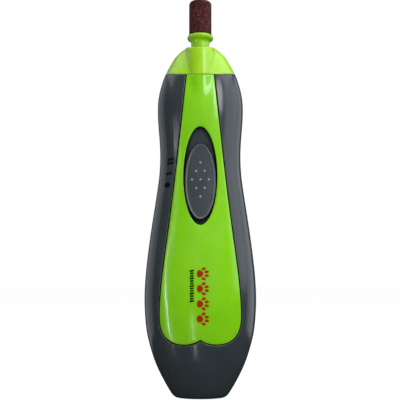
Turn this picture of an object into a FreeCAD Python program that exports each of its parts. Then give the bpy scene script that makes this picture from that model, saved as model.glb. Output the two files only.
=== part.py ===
import FreeCAD, Part
import math
import os

# Battery rotary nail grinder for pets: a hand-held casing with two AA cells, a small motor,
# a thumb slide switch and a sanding drum on the nose.  Millimetres, +Z up the long axis,
# -Y is the front (thumb side), the origin is the middle of the base.

V = FreeCAD.Vector
X_AXIS = V(1, 0, 0)
Y_AXIS = V(0, 1, 0)
Z_AXIS = V(0, 0, 1)

# ---- driving dimensions -------------------------------------------------------------------

# Casing profile: height, half width, front depth, rear depth.
PROFILE = [
    (0.0, 9.9, 8.0, 8.0),
    (0.8, 10.9, 9.0, 9.0),
    (3.0, 12.45, 10.5, 10.5),
    (6.0, 14.2, 12.1, 12.1),
    (10.0, 16.3, 14.0, 14.0),
    (14.0, 18.05, 15.6, 15.6),
    (18.0, 19.4, 16.8, 16.8),
    (24.0, 21.0, 18.2, 18.2),
    (31.0, 21.9, 19.1, 19.1),
    (38.0, 22.2, 19.5, 19.5),
    (47.0, 21.85, 19.0, 19.4),
    (58.0, 20.7, 17.8, 18.9),
    (69.0, 19.2, 16.6, 18.0),
    (80.0, 17.55, 15.7, 16.9),
    (88.0, 16.55, 15.25, 16.2),
    (95.0, 16.28, 15.1, 15.9),
    (102.0, 16.6, 15.1, 15.9),
    (108.0, 17.1, 15.0, 15.9),
    (114.0, 17.38, 14.6, 15.7),
    (119.0, 17.1, 13.8, 15.2),
    (124.0, 16.05, 12.7, 14.2),
    (128.0, 14.75, 11.5, 13.0),
    (131.0, 13.35, 10.3, 11.8),
    (134.0, 11.7, 8.9, 10.3),
    (136.5, 10.1, 7.5, 8.8),
    (138.5, 8.1, 6.0, 7.0),
    (139.6, 6.1, 4.8, 5.3),
    (140.2, 4.5, 3.95, 4.3),
]
OVALNESS = 2.2             # 2 is an ellipse, more is squarer
CASE_TOP = PROFILE[-1][0]
SECTION_POINTS = 56

# Half-round ridge up the front of the nose: height, distance of its axis in front, radius,
# width of the soft corner beside it.
RIDGE = [
    (100.0, 9.45, 5.15, 0.6),
    (113.0, 9.45, 5.15, 0.6),
    (126.0, 8.7, 5.2, 0.8),
    (134.0, 7.7, 5.2, 1.6),
    (140.2, 6.5, 5.15, 3.0),
]
RIDGE_TOP_Z = 140.9        # sloping top of the ridge, on the long axis
RIDGE_TOP_EDGE = 0.5

WALL = 2.4
FLOOR = 2.4
CAVITY_TOP = 137.6
PANEL_T = 1.3
PANEL_GAP = 0.45

SEAM_Z = 129.85            # nose cap joint, on the long axis
SEAM_TILT = 16.0           # degrees, lower at the front
SEAM_GAP = 0.16
LIP_T = 1.0
LIP_H = 2.0

PART_Y = 1.5               # plane between the front and rear shells
SHELL_GAP = 0.16
DOOR_GAP = 0.3
BASE_TOP = 8.0             # top of the base cup at the back
BASE_SLOPE = 40.0          # degrees by which the base cup's rim rises towards the front
DOOR_TOP = 74.8

RECESS_Z = 85.6            # thumb recess, an upright oval
RECESS_HALF_H = 19.3
RECESS_HALF_W = 6.6
RECESS_FLOOR_Y = -13.4
RECESS_FLOOR_T = 1.5

PAD_Z = 83.2
PAD_HALF_H = 14.65
PAD_HALF_W = 5.9
PAD_PROUD = 0.55
PAD_RIM_W = 0.55
PAD_RIM_H = 0.22
PAD_CLEAR = 0.3
SWITCH_TRAVEL = 5.0
STEM_HALF_W = 1.6
STEM_Z = (79.6, 86.6)
STEM_CLEAR = 0.35

NUB_R = 0.52
NUB_PROUD = 0.3
NUB_LIFT = 0.012           # keeps a nub's flat foot off the pad's slight curve
NUB_PITCH_X = 1.62
NUB_PITCH_Z = 3.33
NUB_Z = 83.9

CELL_R = 7.25
CELL_L = 50.5
CELL_X = 7.5
CELL_Y = 3.05
NUB_CELL_R = 2.75
NUB_CELL_H = 1.0
WRAP_T = 0.15
CONTACT_T = 0.4
TRAY_FLOOR = 12.8
TRAY_TOP = 68.3
SPRING_L = 3.8
SPRING_WIRE_R = 0.3

BOARD_Y = (-9.6, -8.6)
BOARD_HALF_W = 7.0
BOARD_Z = (71.0, 98.0)

MOTOR_R = 10.0
MOTOR_HALF_Y = 7.5
MOTOR_Z = (90.0, 113.0)
CAN_T = 0.8
END_CAP_Z = 86.0
SHAFT_R = 1.0
SHAFT_Z = (84.5, 124.0)
RUNNING = 0.05             # radial clearance of a shaft in its bush
ARMATURE_Z = (94.0, 107.0)
ARMATURE_R = 5.9
POLES = 3

CHUCK_R = 2.4
CHUCK_Z = (115.6, 144.5)
SHANK_R = 1.46
SHANK_BORE_R = 1.5
SHANK_Z = 127.0

NECK_R = 3.78
BUSH_R = 3.2
COLLAR_TOP = 145.75
DRUM_R = 4.7
DRUM_IN_R = 4.05
DRUM_Z = (146.05, 160.3)
DRUM_EDGE = 1.4
CORE_R = 4.0
CORE_Z = (146.45, 158.3)

SCREW_R = 1.05
SCREW_HEAD_R = 2.0
SHELL_SCREWS = [(9.6, 121.0), (12.3, 79.5)]
CLAMP_SCREW_X = 12.0
CLAMP_Z = (97.0, 103.0)

LEAD_R = 0.55


# ---- small helpers ------------------------------------------------------------------------

def box(x0, x1, y0, y1, z0, z1):
    return Part.makeBox(x1 - x0, y1 - y0, z1 - z0, V(x0, y0, z0))


def cyl(radius, z0, z1, x=0.0, y=0.0):
    return Part.makeCylinder(radius, z1 - z0, V(x, y, z0), Z_AXIS)


def tube(outer, inner, z0, z1, x=0.0, y=0.0):
    return cyl(outer, z0, z1, x, y).cut(cyl(inner, z0, z1, x, y))


def cyl_y(radius, y0, y1, x, z):
    return Part.makeCylinder(radius, y1 - y0, V(x, y0, z), Y_AXIS)


def fuse(shapes):
    shapes = list(shapes)
    if len(shapes) == 1:
        return shapes[0]
    return shapes[0].fuse(shapes[1:]).removeSplitter()


def turned(points):
    """Solid of revolution about Z from (radius, height) corners."""
    corners = [V(r, 0, z) for r, z in points]
    face = Part.Face(Part.makePolygon(corners + corners[:1]))
    return face.revolve(V(0, 0, 0), Z_AXIS, 360)


def save(node, shape):
    shape.exportStep("parts/" + node + ".step")


def round_wire(points, radius):
    """Insulated wire: straight runs joined by tangent arcs."""
    points = [V(*p) for p in points]
    edges = []
    start = points[0]
    for before, corner, after in zip(points, points[1:], points[2:]):
        run_in = corner - before
        run_out = after - corner
        turn = run_in.getAngle(run_out)
        setback = 0.45 * min(run_in.Length, run_out.Length)
        run_in.normalize()
        run_out.normalize()
        arc_start = corner - run_in * setback
        arc_end = corner + run_out * setback
        arc_radius = setback / math.tan(turn / 2)
        inward = run_out - run_in
        inward.normalize()
        centre = corner + inward * math.hypot(arc_radius, setback)
        arc_middle = centre - inward * arc_radius
        edges.append(Part.LineSegment(start, arc_start).toShape())
        edges.append(Part.Arc(arc_start, arc_middle, arc_end).toShape())
        start = arc_end
    edges.append(Part.LineSegment(start, points[-1]).toShape())
    path = Part.Wire(edges)
    circle = Part.Wire(Part.makeCircle(radius, points[0], points[1] - points[0]))
    return path.makePipeShell([circle], True, False)


# ---- outer form ---------------------------------------------------------------------------

def slope_at(rows, index, column):
    def chord(low):
        rise = rows[low + 1][0] - rows[low][0]
        return (rows[low + 1][column] - rows[low][column]) / rise, rise
    if index == 0:
        return chord(0)[0]
    if index == len(rows) - 1:
        return chord(index - 1)[0]
    slope_below, rise_below = chord(index - 1)
    slope_above, rise_above = chord(index)
    total = rise_below + rise_above
    return (slope_below * rise_above + slope_above * rise_below) / total


def smooth_value(rows, z, column):
    """Smooth curve through one column of rows, whose first column is the height."""
    index = 0
    while index < len(rows) - 2 and rows[index + 1][0] <= z:
        index += 1
    z0 = rows[index][0]
    rise = rows[index + 1][0] - z0
    t = min(max((z - z0) / rise, 0.0), 1.0)
    p0 = rows[index][column]
    p1 = rows[index + 1][column]
    m0 = slope_at(rows, index, column) * rise
    m1 = slope_at(rows, index + 1, column) * rise
    a = 2 * t ** 3 - 3 * t ** 2
    return (a + 1) * p0 + (t ** 3 - 2 * t ** 2 + t) * m0 - a * p1 + (t ** 3 - t ** 2) * m1


def profile_at(z, column):
    return smooth_value(PROFILE, z, column)


def form(x, y, z, inset):
    """Negative inside the casing's form, shrunk all round by inset."""
    half_w = profile_at(z, 1) - inset
    depth = profile_at(z, 2 if y < 0 else 3) - inset
    small = min(half_w, depth)
    oval = ((abs(x) / half_w) ** OVALNESS + (abs(y) / depth) ** OVALNESS) ** (1 / OVALNESS)
    oval = (oval - 1) * small
    if z < RIDGE[0][0]:
        return oval
    ridge_y = smooth_value(RIDGE, z, 1)
    radius = smooth_value(RIDGE, z, 2) - inset
    ridge = math.hypot(x, y - min(max(y, -ridge_y), 0.0)) - radius
    blend = smooth_value(RIDGE, z, 3)
    overlap = max(blend - abs(oval - ridge), 0.0) / blend
    return min(oval, ridge) - overlap ** 2 * blend / 4


def section(z, inset):
    """Closed smooth outline of the form at height z."""
    centre_y = -3.0
    crowding = 0.42        # more points towards the front, where the ridge is
    points = []
    for i in range(SECTION_POINTS):
        step = 2 * math.pi * i / SECTION_POINTS
        angle = step - crowding * math.sin(step)
        dx = math.sin(angle)
        dy = -math.cos(angle)
        low = 0.0
        high = 40.0
        for _ in range(28):
            middle = (low + high) / 2
            if form(middle * dx, centre_y + middle * dy, z, inset) < 0:
                low = middle
            else:
                high = middle
        points.append(V(low * dx, centre_y + low * dy, z))
    curve = Part.BSplineCurve()
    knots = [i / SECTION_POINTS for i in range(SECTION_POINTS + 1)]
    curve.interpolate(Points=points, PeriodicFlag=True, Parameters=knots)
    return Part.Wire(curve.toShape())


def casing_form(inset, z0=0.0, z1=CASE_TOP):
    heights = [z0] + [row[0] for row in PROFILE if z0 + 0.3 < row[0] < z1 - 0.3] + [z1]
    return Part.makeLoft([section(z, inset) for z in heights], True, False)


def above_tilted(height):
    """Everything above a plane that crosses the long axis at height and dips to the front."""
    block = Part.makeBox(80, 80, 60, V(-40, -40, 0))
    block.rotate(V(0, 0, 0), X_AXIS, SEAM_TILT)
    block.translate(V(0, 0, height))
    return block


def above_seam(lift):
    return above_tilted(SEAM_Z + lift)


def make_outer_form():
    """The whole casing's outside, with the ridge's sloping top cut and its edge rounded."""
    cut_form = casing_form(0.0).cut(above_tilted(RIDGE_TOP_Z)).Solids[0]

    def on_top(edge):
        points = [edge.valueAt(edge.FirstParameter + (edge.LastParameter - edge.FirstParameter) * t)
                  for t in (0.1, 0.5, 0.9)]
        dip = math.tan(math.radians(SEAM_TILT))
        return all(abs(q.z - RIDGE_TOP_Z - q.y * dip) < 0.01 and q.z < CASE_TOP - 0.01 for q in points)

    return cut_form.makeFillet(RIDGE_TOP_EDGE, [edge for edge in cut_form.Edges if on_top(edge)])


def upright_oval(half_w, half_h, centre_z, y0, y1):
    oval = Part.Ellipse(V(0, y0, centre_z + half_h), V(half_w, y0, centre_z), V(0, y0, centre_z))
    return Part.Face(Part.Wire(oval.toShape())).extrude(V(0, y1 - y0, 0))


PANEL_RIGHT_EDGE = [
    (0.0, 23.3), (2.7, 21.9), (6.2, 21.4), (9.8, 21.9), (12.6, 23.5), (14.5, 26.3),
    (15.3, 30.0), (15.35, 34.5), (14.35, 47.4), (12.1, 65.0), (9.55, 86.0),
    (7.25, 107.0), (5.45, 125.0), (4.6, 135.0),
]


def panel_prism(grow):
    """Front view outline of the long inlaid panel: two round lobes below, tapering upwards."""
    curve = Part.BSplineCurve()
    curve.interpolate(Points=[V(x, -30, z) for x, z in PANEL_RIGHT_EDGE])
    if grow:
        points = []
        for x, z in PANEL_RIGHT_EDGE:
            tangent = curve.tangent(curve.parameter(V(x, -30, z)))[0]
            if x == 0:
                points.append(V(0, -30, z - grow / tangent.x))
            else:
                points.append(V(x + grow * tangent.z, -30, z - grow * tangent.x))
        curve.interpolate(Points=points)
    right_edge = curve.toShape()
    left_edge = right_edge.mirror(V(0, 0, 0), X_AXIS)
    top = curve.EndPoint
    top_edge = Part.makeLine(V(-top.x, -30, top.z), top)
    outline = Part.Wire(Part.__sortEdges__([right_edge, top_edge, left_edge]))
    return Part.Face(outline).extrude(V(0, 30, 0))


outer = make_outer_form()
cavity = casing_form(WALL, FLOOR, CAVITY_TOP)
inner_room = casing_form(WALL + 0.25, FLOOR + 0.3, CAVITY_TOP - 0.3)
hollow = outer.cut(cavity)
cap_space = above_seam(SEAM_GAP / 2)
below_seam = box(-40, 40, -40, 40, -1, 150).cut(above_seam(-SEAM_GAP / 2))

DOOR_PIVOT_Y = profile_at(BASE_TOP, 3)
DOOR_PIVOT_Z = BASE_TOP + DOOR_GAP / 2
DOOR_R = DOOR_TOP - DOOR_PIVOT_Z


def below_base_rim(gap):
    """Everything below the sloping rim of the base cup, raised square to it by gap."""
    block = Part.makeBox(90, 90, 60, V(-45, -60, -60 + gap))
    block.rotate(V(0, 0, 0), X_AXIS, -BASE_SLOPE)
    block.translate(V(0, DOOR_PIVOT_Y, BASE_TOP))
    return block


def door_sweep(radius):
    """Drum about the door's pivot line: the door's top edge is an arc about it."""
    centre = V(-40, DOOR_PIVOT_Y, DOOR_PIVOT_Z)
    return Part.makeCylinder(radius, 80, centre, X_AXIS)


# ---- casing -------------------------------------------------------------------------------

def make_nose_cap():
    lip = cavity.common(above_seam(-LIP_H)).cut(above_seam(1.5))
    lip = lip.cut(casing_form(WALL + LIP_T, 110, 136))
    cap = hollow.common(cap_space).fuse(lip)
    cap = cap.cut(cyl(NECK_R, CAVITY_TOP - 1, CASE_TOP + 1))
    return cap.removeSplitter()


def switch_floor():
    floor = upright_oval(RECESS_HALF_W + 1.2, RECESS_HALF_H + 1.2, RECESS_Z,
                         RECESS_FLOOR_Y, RECESS_FLOOR_Y + RECESS_FLOOR_T)
    return floor.common(casing_form(WALL - 0.6, 60, 112))


def board_posts():
    posts = []
    for z in (BOARD_Z[0] + 2.0, BOARD_Z[1] - 1.6):
        for x in (-6.0, 6.0):
            posts.append(cyl_y(0.9, RECESS_FLOOR_Y + RECESS_FLOOR_T - 0.4, BOARD_Y[0], x, z))
    return posts


def shell_bosses(y0, y1, radius):
    bosses = []
    for x, z in SHELL_SCREWS:
        for side in (-x, x):
            bosses.append(cyl_y(radius, y0, y1, side, z))
    return bosses


def make_front_shell():
    front_half = box(-40, 40, -40, PART_Y - SHELL_GAP / 2, -1, 150)
    base_cup = box(-40, 40, PART_Y - 1, 40, -1, 40).common(below_base_rim(0.0))
    shell = hollow.common(front_half.fuse(base_cup)).common(below_seam)
    bosses = fuse(shell_bosses(-30, PART_Y - SHELL_GAP / 2, 2.5)).common(casing_form(WALL - 0.6, 60, 128))
    shell = fuse([shell, switch_floor(), bosses] + board_posts())
    pocket = outer.cut(casing_form(PANEL_T + 0.05)).common(panel_prism(PANEL_GAP))
    shell = shell.cut(pocket)
    shell = shell.cut(upright_oval(RECESS_HALF_W, RECESS_HALF_H, RECESS_Z, -30, RECESS_FLOOR_Y))
    slot = box(-STEM_HALF_W - STEM_CLEAR, STEM_HALF_W + STEM_CLEAR, -20, -8,
               STEM_Z[0] - STEM_CLEAR, STEM_Z[1] + SWITCH_TRAVEL + STEM_CLEAR)
    shell = shell.cut(slot)
    for hole in shell_bosses(-7, PART_Y, SCREW_R):
        shell = shell.cut(hole)
    return shell


def make_rear_shell():
    rear_half = box(-40, 40, PART_Y + SHELL_GAP / 2, 40, 60, 150)
    shell = hollow.common(rear_half).common(below_seam).cut(door_sweep(DOOR_R + DOOR_GAP))
    bosses = fuse(shell_bosses(PART_Y + SHELL_GAP / 2, 30, 3.0)).common(casing_form(WALL - 0.6, 60, 128))
    bosses = bosses.cut(door_sweep(DOOR_R + DOOR_GAP))
    shell = shell.fuse(bosses)
    for x, z in SHELL_SCREWS:
        for side in (-x, x):
            seat = screw_seat(x, z)
            shell = shell.cut(cyl_y(SCREW_R + 0.1, PART_Y, 30, side, z))
            shell = shell.cut(cyl_y(SCREW_HEAD_R + 0.3, seat, 30, side, z))
    return shell.removeSplitter()


def screw_seat(x, z):
    """Depth of the screw head's seat below the rear surface."""
    half_w = profile_at(z, 1)
    depth = profile_at(z, 3)
    surface = depth * (1 - (x / half_w) ** OVALNESS) ** (1 / OVALNESS)
    return surface - 3.6


def make_front_panel():
    skin = outer.cut(casing_form(PANEL_T))
    panel = skin.common(panel_prism(0.0)).common(below_seam)
    return panel.cut(upright_oval(RECESS_HALF_W, RECESS_HALF_H, RECESS_Z, -30, 0))


def make_battery_door():
    space = box(-40, 40, PART_Y + DOOR_GAP, 40, 2, 90).cut(below_base_rim(DOOR_GAP))
    door = hollow.common(space.common(door_sweep(DOOR_R)))
    ring_up = casing_form(WALL - 0.3, 4, 18).cut(casing_form(WALL + 1.3, 4, 18))
    ring_low = casing_form(WALL + 0.35, 4, 18).cut(casing_form(WALL + 1.3, 4, 18))
    hooks = []
    for x0, x1 in ((-6.0, -2.5), (2.5, 6.0)):
        hooks.append(ring_up.common(box(x0, x1, 4, 30, 8, 12.2)).cut(below_base_rim(DOOR_GAP)))
        hooks.append(ring_low.common(box(x0, x1, 4, 30, 7.0, 12.0)))
    door = fuse([door] + hooks)
    thumb_z = 64.0
    thumb_floor = profile_at(thumb_z, 3) - 1.1
    thumb = cyl_y(6.5, thumb_floor, 30, 0, thumb_z)
    ribs = [box(-3.6, 3.6, thumb_floor - 0.2, thumb_floor + 0.6, thumb_z + dz - 0.3, thumb_z + dz + 0.3)
            for dz in (-3.2, -1.6, 0.0, 1.6, 3.2)]
    return fuse([door.cut(thumb)] + ribs)


def make_foam_pad():
    return cavity.common(box(-8, 8, 15.0, 25, 30, 52))


def make_guard_collar():
    """Neck with a thin flared lip: its foot is held under the nose cap."""
    flare_r = 5.38
    top = COLLAR_TOP
    return turned([
        (BUSH_R, 136.6), (4.7, 136.6), (4.7, CAVITY_TOP), (NECK_R, CAVITY_TOP), (NECK_R, top - 3.05),
        (3.95, top - 2.6), (4.35, top - 2.2), (4.95, top - 1.8), (flare_r - 0.08, top - 1.35),
        (flare_r, top - 0.95), (flare_r - 0.06, top - 0.6), (flare_r - 0.25, top - 0.2),
        (flare_r - 0.45, top), (BUSH_R, top),
    ])


def make_nose_bush():
    return tube(BUSH_R, CHUCK_R + RUNNING, 138.0, 143.0)


# ---- fasteners ----------------------------------------------------------------------------

def pan_screw(x, z, seat_y, tip_y, shank_r, head_r, head_h):
    """Cross-head screw along Y, head towards +Y when seat_y is above tip_y."""
    way = 1 if seat_y > tip_y else -1
    shank = cyl_y(shank_r, min(tip_y, seat_y), max(tip_y, seat_y), x, z)
    head_end = seat_y + way * head_h
    head = cyl_y(head_r, min(seat_y, head_end), max(seat_y, head_end), x, z)
    outer_rim = [e for e in head.Edges if abs(e.BoundBox.YMin - head_end) < 1e-6
                 and abs(e.BoundBox.YMax - head_end) < 1e-6]
    head = head.makeFillet(head_h * 0.45, outer_rim)
    cross = fuse([
        box(x - head_r * 0.6, x + head_r * 0.6, -0.5, 0.5, z - 0.25, z + 0.25),
        box(x - 0.25, x + 0.25, -0.5, 0.5, z - head_r * 0.6, z + head_r * 0.6),
    ])
    cross.translate(V(0, head_end, 0))
    return fuse([shank, head]).cut(cross)


def make_shell_screws():
    screws = []
    for x, z in SHELL_SCREWS:
        for side in (-x, x):
            screws.append(pan_screw(side, z, screw_seat(x, z), -6.0, SCREW_R, SCREW_HEAD_R, 1.5))
    return Part.Compound(screws)


def make_clamp_screws():
    z = (CLAMP_Z[0] + CLAMP_Z[1]) / 2
    screws = [pan_screw(x, z, -2.0, 4.0, 0.8, 1.4, 0.9) for x in (-CLAMP_SCREW_X, CLAMP_SCREW_X)]
    return Part.Compound(screws)


# ---- drive --------------------------------------------------------------------------------

def motor_outline(extra, z0, z1):
    round_body = cyl(MOTOR_R + extra, z0, z1)
    flats = MOTOR_HALF_Y + extra
    return round_body.common(box(-20, 20, -flats, flats, z0, z1))


def make_chassis():
    tray_y = (-6.6, 7.0)
    floor = fuse([box(-15.5, 15.5, tray_y[0], 0.5, TRAY_FLOOR - 1.8, TRAY_FLOOR),
                  box(-12.5, 12.5, tray_y[0], tray_y[1], TRAY_FLOOR - 1.8, TRAY_FLOOR)])
    head = box(-15.5, 15.5, tray_y[0], 10.5, TRAY_TOP, TRAY_TOP + 2.0)
    front = box(-15.5, 15.5, tray_y[0], tray_y[0] + 1.6, TRAY_FLOOR - 1, TRAY_TOP + 1)
    rib = box(-2.2, 2.2, tray_y[0] + 1, CELL_Y - 1.8, TRAY_FLOOR + 1, TRAY_TOP - 1)
    for x in (-CELL_X, CELL_X):
        rib = rib.cut(cyl(CELL_R + 0.15, TRAY_FLOOR, TRAY_TOP, x, CELL_Y))
    back = box(-9.0, 9.0, MOTOR_HALF_Y + 0.6, 9.8, TRAY_TOP + 1, 116.0)
    saddles = []
    for z0, z1 in ((90.5, 93.5), (107.5, 110.5)):
        saddles.append(box(-13.5, 13.5, -5.0, 9.8, z0, z1))
    for x0, x1 in ((-13.6, -10.1), (10.1, 13.6)):
        saddles.append(box(x0, x1, -1.0, 6.0, 93, 108))
    plate = box(-13.5, 13.5, -8.0, 9.8, MOTOR_Z[1], MOTOR_Z[1] + 1.6)
    frame = fuse([floor, head, front, rib, back, plate] + saddles)
    frame = frame.cut(motor_outline(0.0, END_CAP_Z - 1, MOTOR_Z[1]))
    frame = frame.cut(cyl(3.0, MOTOR_Z[1] - 1, MOTOR_Z[1] + 3))
    screw_z = (CLAMP_Z[0] + CLAMP_Z[1]) / 2
    for x in (-CLAMP_SCREW_X, CLAMP_SCREW_X):
        frame = frame.cut(cyl_y(0.8, -1, 4, x, screw_z))
    for x in (-CELL_X, CELL_X):
        frame = frame.cut(cyl(2.0, TRAY_TOP - 1, TRAY_TOP + 3, x, CELL_Y))
    return frame.common(inner_room)


def make_motor_clamp():
    z0, z1 = CLAMP_Z
    strap = motor_outline(0.75, z0, z1).cut(motor_outline(0.0, z0, z1))
    strap = strap.cut(box(-20, 20, -1.0, 20, z0, z1))
    ears = []
    for x0, x1 in ((-13.5, -10.0), (10.0, 13.5)):
        ears.append(box(x0, x1, -2.0, -1.0, z0, z1))
    strap = fuse([strap] + ears).cut(motor_outline(0.0, z0, z1))
    for x in (-CLAMP_SCREW_X, CLAMP_SCREW_X):
        strap = strap.cut(cyl_y(0.8, -3, 0, x, (z0 + z1) / 2))
    return strap.common(inner_room)


def make_motor_can():
    z0, z1 = MOTOR_Z
    can = motor_outline(0.0, z0, z1).cut(motor_outline(-CAN_T, z0, z1 - CAN_T))
    return can.cut(cyl(2.0, z1 - 2, z1 + 1))


def make_magnets():
    ring = tube(MOTOR_R - CAN_T, 6.4, 92.5, 108.5)
    return Part.Compound([ring.common(box(-12, -3, -5.6, 5.6, 92, 109)),
                          ring.common(box(3, 12, -5.6, 5.6, 92, 109))])


def make_motor_end_cap():
    disc = motor_outline(0.0, END_CAP_Z, END_CAP_Z + 1.8)
    rim = motor_outline(0.0, END_CAP_Z, MOTOR_Z[0]).cut(motor_outline(-1.6, END_CAP_Z, MOTOR_Z[0]))
    return fuse([disc, rim]).cut(cyl(SHAFT_R + RUNNING, END_CAP_Z - 1, END_CAP_Z + 3))


def make_brushes():
    strips = []
    for y0 in (-2.6, 2.3):
        strips.append(box(-6.0, 3.0, y0, y0 + 0.3, END_CAP_Z + 1.8, END_CAP_Z + 4.0))
    return Part.Compound(strips)


def make_terminals():
    tabs = []
    for x0 in (-8.1, 7.7):
        tabs.append(box(x0, x0 + 0.4, -1.0, 1.0, END_CAP_Z - 3.2, END_CAP_Z))
    return Part.Compound(tabs)


def make_motor_bush():
    z1 = MOTOR_Z[1]
    collar = fuse([cyl(2.0, z1 - CAN_T, z1), cyl(3.0, z1, z1 + 1.5)])
    return collar.cut(cyl(SHAFT_R + RUNNING, z1 - 2, z1 + 3))


def make_armature_core():
    z0, z1 = ARMATURE_Z
    pieces = [cyl(2.2, z0, z1)]
    shoe = tube(ARMATURE_R, ARMATURE_R - 1.0, z0, z1)
    wedge = Part.makeCylinder(ARMATURE_R + 1, z1 - z0, V(0, 0, z0), Z_AXIS, 86)
    wedge.rotate(V(0, 0, 0), Z_AXIS, -43)
    shoe = shoe.common(wedge)
    arm = box(0, ARMATURE_R - 0.5, -1.2, 1.2, z0, z1)
    for pole in range(POLES):
        for piece in (shoe, arm):
            copy = piece.copy()
            copy.rotate(V(0, 0, 0), Z_AXIS, 360 * pole / POLES)
            pieces.append(copy)
    return fuse(pieces).cut(cyl(SHAFT_R, z0 - 1, z1 + 1))


def make_windings():
    z0, z1 = ARMATURE_Z
    coil = box(2.45, 4.15, -2.3, 2.3, z0 - 1.2, z1 + 1.2).cut(box(0, 6, -1.2, 1.2, z0, z1))
    coil = coil.makeFillet(0.5, [e for e in coil.Edges if e.BoundBox.XLength > 1.6
                                 and abs(e.BoundBox.YMin) > 2.2])
    coils = []
    for pole in range(POLES):
        copy = coil.copy()
        copy.rotate(V(0, 0, 0), Z_AXIS, 360 * pole / POLES)
        coils.append(copy)
    return Part.Compound(coils)


def make_commutator():
    return tube(2.0, SHAFT_R, END_CAP_Z + 2.2, END_CAP_Z + 6.2)


def make_chuck_sleeve():
    z0, z1 = CHUCK_Z
    sleeve = cyl(CHUCK_R, z0, z1).cut(cyl(SHAFT_R, z0 - 1, SHAFT_Z[1]))
    return sleeve.cut(cyl(SHANK_BORE_R, SHAFT_Z[1] + 0.8, z1 + 1))


# ---- sanding drum -------------------------------------------------------------------------

def make_mandrel_shank():
    shank = cyl(SHANK_R, SHANK_Z, CORE_Z[1])
    tip = [e for e in shank.Edges if e.BoundBox.ZMax < SHANK_Z + 0.1]
    shank = shank.makeChamfer(0.4, tip)
    return fuse([shank, cyl(3.3, COLLAR_TOP + 0.25, CORE_Z[0])])


def make_drum_core():
    return tube(CORE_R, SHANK_R, CORE_Z[0], CORE_Z[1])


def make_drum_washer():
    return cyl(3.0, CORE_Z[1], CORE_Z[1] + 0.6)


def make_drum_screw():
    z0 = CORE_Z[1] + 0.6
    head = cyl(2.2, z0, z0 + 1.0)
    top = [e for e in head.Edges if e.BoundBox.ZMin > z0 + 0.9]
    head = head.makeFillet(0.4, top)
    cross = fuse([box(-1.4, 1.4, -0.3, 0.3, z0 + 0.5, z0 + 2), box(-0.3, 0.3, -1.4, 1.4, z0 + 0.5, z0 + 2)])
    return head.cut(cross)


def make_sanding_sleeve():
    z0, z1 = DRUM_Z
    steps = 6
    outline = [(DRUM_IN_R, z0), (DRUM_R, z0)]
    for i in range(steps + 1):
        angle = math.pi / 2 * i / steps
        outline.append((DRUM_R - DRUM_EDGE * (1 - math.cos(angle)), z1 - DRUM_EDGE * (1 - math.sin(angle))))
    outline += [(3.2, z1), (3.2, z1 - 0.65), (DRUM_IN_R - 0.25, z1 - 0.95), (DRUM_IN_R, z1 - 1.25)]
    return turned(outline)


# ---- power --------------------------------------------------------------------------------

def cell(x, flat_z, way):
    """One AA cell standing on its flat end; way is +1 with the positive end up."""
    shoulder = CELL_L - NUB_CELL_H
    body = cyl(CELL_R - WRAP_T, 0, shoulder)
    nub = cyl(NUB_CELL_R, shoulder, CELL_L)
    shape = fuse([body, nub])
    if way < 0:
        shape.rotate(V(0, 0, 0), X_AXIS, 180)
    shape.translate(V(x, CELL_Y, flat_z))
    return shape


RIGHT_FLAT = TRAY_FLOOR + CONTACT_T + SPRING_L
LEFT_FLAT = TRAY_FLOOR + CONTACT_T + CELL_L


def make_battery_wraps():
    margin = 0.2
    right = tube(CELL_R, CELL_R - WRAP_T, RIGHT_FLAT + margin,
                 RIGHT_FLAT + CELL_L - NUB_CELL_H - margin, CELL_X, CELL_Y)
    left = tube(CELL_R, CELL_R - WRAP_T, LEFT_FLAT - CELL_L + NUB_CELL_H + margin,
                LEFT_FLAT - margin, -CELL_X, CELL_Y)
    return Part.Compound([left, right])


def cone_spring(x, base_z, way, length):
    """Tapering contact spring that starts on a plate at base_z."""
    turns = 3
    radius = 4.6
    taper = 1.4
    helix = Part.makeHelix(length / turns, length - 2 * SPRING_WIRE_R, radius,
                           -math.degrees(math.atan(taper / length)))
    start = V(radius, 0, 0)
    circle = Part.Wire(Part.makeCircle(SPRING_WIRE_R, start, Y_AXIS))
    coil = Part.Wire(helix.Edges).makePipeShell([circle], True, True)
    coil.translate(V(0, 0, SPRING_WIRE_R * 0.5))
    if way < 0:
        coil.rotate(V(0, 0, 0), X_AXIS, 180)
    coil.translate(V(x, CELL_Y, base_z))
    return coil


def make_contact_plate_positive():
    z1 = TRAY_TOP
    plate = box(CELL_X - 4, CELL_X + 4, CELL_Y - 4, CELL_Y + 4, z1 - CONTACT_T, z1)
    bump_drop = z1 - CONTACT_T - (RIGHT_FLAT + CELL_L)
    tab = cyl(1.2, z1 - 0.1, z1 + 3.2, CELL_X, CELL_Y)
    parts = [plate, tab]
    if bump_drop > 0.05:
        parts.append(cyl(1.8, z1 - CONTACT_T - bump_drop, z1 - CONTACT_T + 0.1, CELL_X, CELL_Y))
    return fuse(parts)


def make_contact_spring_negative():
    z1 = TRAY_TOP
    plate = box(-CELL_X - 5.2, -CELL_X + 5.2, CELL_Y - 4.5, CELL_Y + 4.5, z1 - CONTACT_T, z1)
    tab = cyl(1.2, z1 - 0.1, z1 + 3.2, -CELL_X, CELL_Y)
    spring = cone_spring(-CELL_X, z1 - CONTACT_T, -1, z1 - CONTACT_T - LEFT_FLAT)
    return fuse([plate, tab, spring])


def make_bridge_contact():
    z0 = TRAY_FLOOR
    plate = box(-CELL_X - 3, CELL_X + 5.0, CELL_Y - 4.5, CELL_Y + 3.4, z0, z0 + CONTACT_T)
    spring = cone_spring(CELL_X, z0 + CONTACT_T, 1, SPRING_L)
    return fuse([plate, spring])


# ---- switch -------------------------------------------------------------------------------

def pad_oval(shrink, y0, y1):
    return upright_oval(PAD_HALF_W - shrink, PAD_HALF_H - shrink, PAD_Z, y0, y1)


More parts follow.
